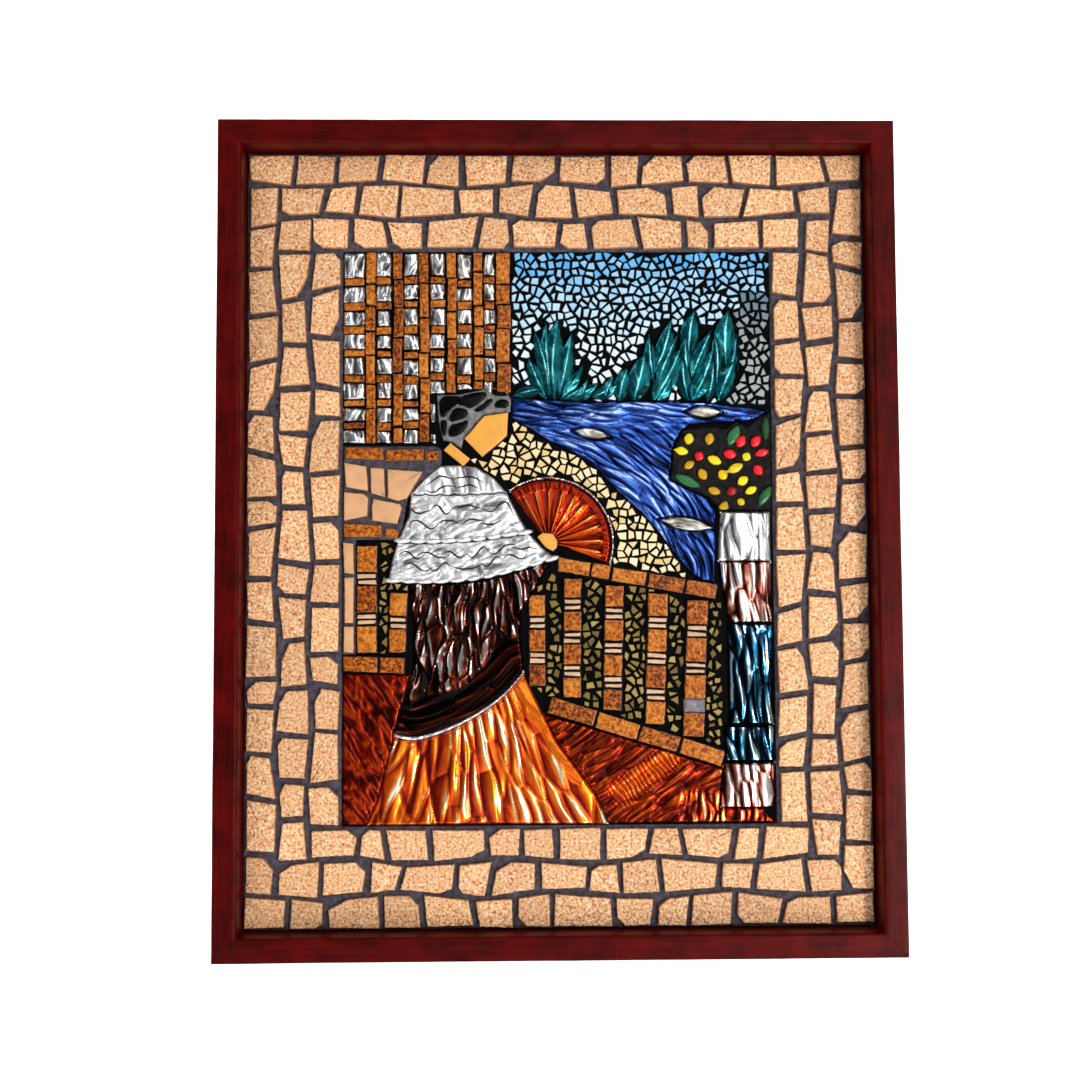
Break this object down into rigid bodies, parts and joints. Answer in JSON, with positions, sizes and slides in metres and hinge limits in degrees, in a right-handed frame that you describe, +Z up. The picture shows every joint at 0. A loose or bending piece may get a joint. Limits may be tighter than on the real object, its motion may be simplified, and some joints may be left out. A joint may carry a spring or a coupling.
{
  "type": "mosaic panel",
  "caption": "Framed wall mosaic: a broken-tile border round a picture of a terrace, river and long-skirted figure with a fan, in tile strips, chips and embossed foil.",
  "frame": {"origin": "centre of the flat back, on the wall that the panel hangs on", "axes": "+X right as seen from the front, +Z up, the picture faces -Y and +Y points into the wall"},
  "size_m": [0.5, 0.038, 0.613],
  "materials": {
    "frame_paint": "dark maroon satin paint over moulded wood",
    "backing_board": "bare plywood",
    "black_ground": "matt black ground",
    "border_tile": "broken peach-coloured speckled floor tile in grey cement grout",
    "mottled_tile": "glazed brown and orange mottled tile strips",
    "wall_tile": "cream tile pieces in grey grout",
    "ochre_tile": "plain ochre tile",
    "black_tile": "glossy black tile pieces with pale grout lines",
    "flower_grout": "dark grey cement bed with yellow, red and green glazed pieces",
    "sky_chips": "blue and white shell-like chips",
    "sand_chips": "cream chips",
    "garden_chips": "olive and gold chips",
    "silver_foil": "crumpled silver foil",
    "pearl_foil": "embossed pearl-white foil",
    "blue_foil": "embossed blue lacquered foil",
    "green_foil": "embossed green lacquered foil",
    "dark_brown_foil": "embossed dark brown lacquered foil",
    "orange_foil": "embossed orange lacquered foil",
    "fan_foil": "red-brown foil with raised orange ribs",
    "copper_foil": "crumpled copper-coloured foil",
    "teal_foil": "crumpled teal foil",
    "mahogany_foil": "smooth mahogany-coloured foil",
    "rust_foil": "crumpled rust and orange foil"
  },
  "bodies": {
    "root": {"backing_board": "backing_board", "baluster_left_1": "mottled_tile", "baluster_left_2": "mottled_tile", "baluster_right_1": "mottled_tile", "baluster_right_2": "mottled_tile", "baluster_right_3": "mottled_tile", "baluster_right_4": "mottled_tile", "baluster_right_5": "mottled_tile", "balustrade_bottom_rail": "mottled_tile", "balustrade_left_rail": "mottled_tile", "balustrade_top_rail": "mottled_tile", "beach_chips": "sand_chips", "blouse_lower_flounce": "pearl_foil", "blouse_middle_flounce": "pearl_foil", "blouse_yoke": "pearl_foil", "boat_far": "silver_foil", "boat_left": "silver_foil", "boat_near": "silver_foil", "border_mosaic": "border_tile", "column_capital": "silver_foil", "column_foot": "copper_foil", "column_lower_teal": "teal_foil", "column_upper_copper": "copper_foil", "column_upper_teal": "teal_foil", "dark_skirt": "dark_brown_foil", "face_tile": "ochre_tile", "fan_hub_tile": "ochre_tile", "fan_leaf": "fan_foil", "fan_rim": "silver_foil", "floor_foil_left": "mahogany_foil", "floor_foil_right": "rust_foil", "flower_mosaic": "flower_grout", "frame_rail_bottom": "frame_paint", "frame_rail_left": "frame_paint", "frame_rail_right": "frame_paint", "frame_rail_top": "frame_paint", "garden_chips_1": "garden_chips", "garden_chips_2": "garden_chips", "garden_chips_3": "garden_chips", "garden_chips_4": "garden_chips", "garden_chips_5": "garden_chips", "garden_chips_left": "garden_chips", "hair_mosaic": "black_tile", "neck_tile": "ochre_tile", "orange_skirt": "orange_foil", "picture_ground": "black_ground", "river_foil": "blue_foil", "shore_leaf": "green_foil", "shore_leaves": "green_foil", "skirt_trim": "silver_foil", "sky_chips": "sky_chips", "tree_left": "green_foil", "tree_middle": "green_foil", "tree_right": "green_foil", "wall_mosaic": "wall_tile", "window_foil": "silver_foil", "window_lattice": "mottled_tile"}
  },
  "joints": []
}
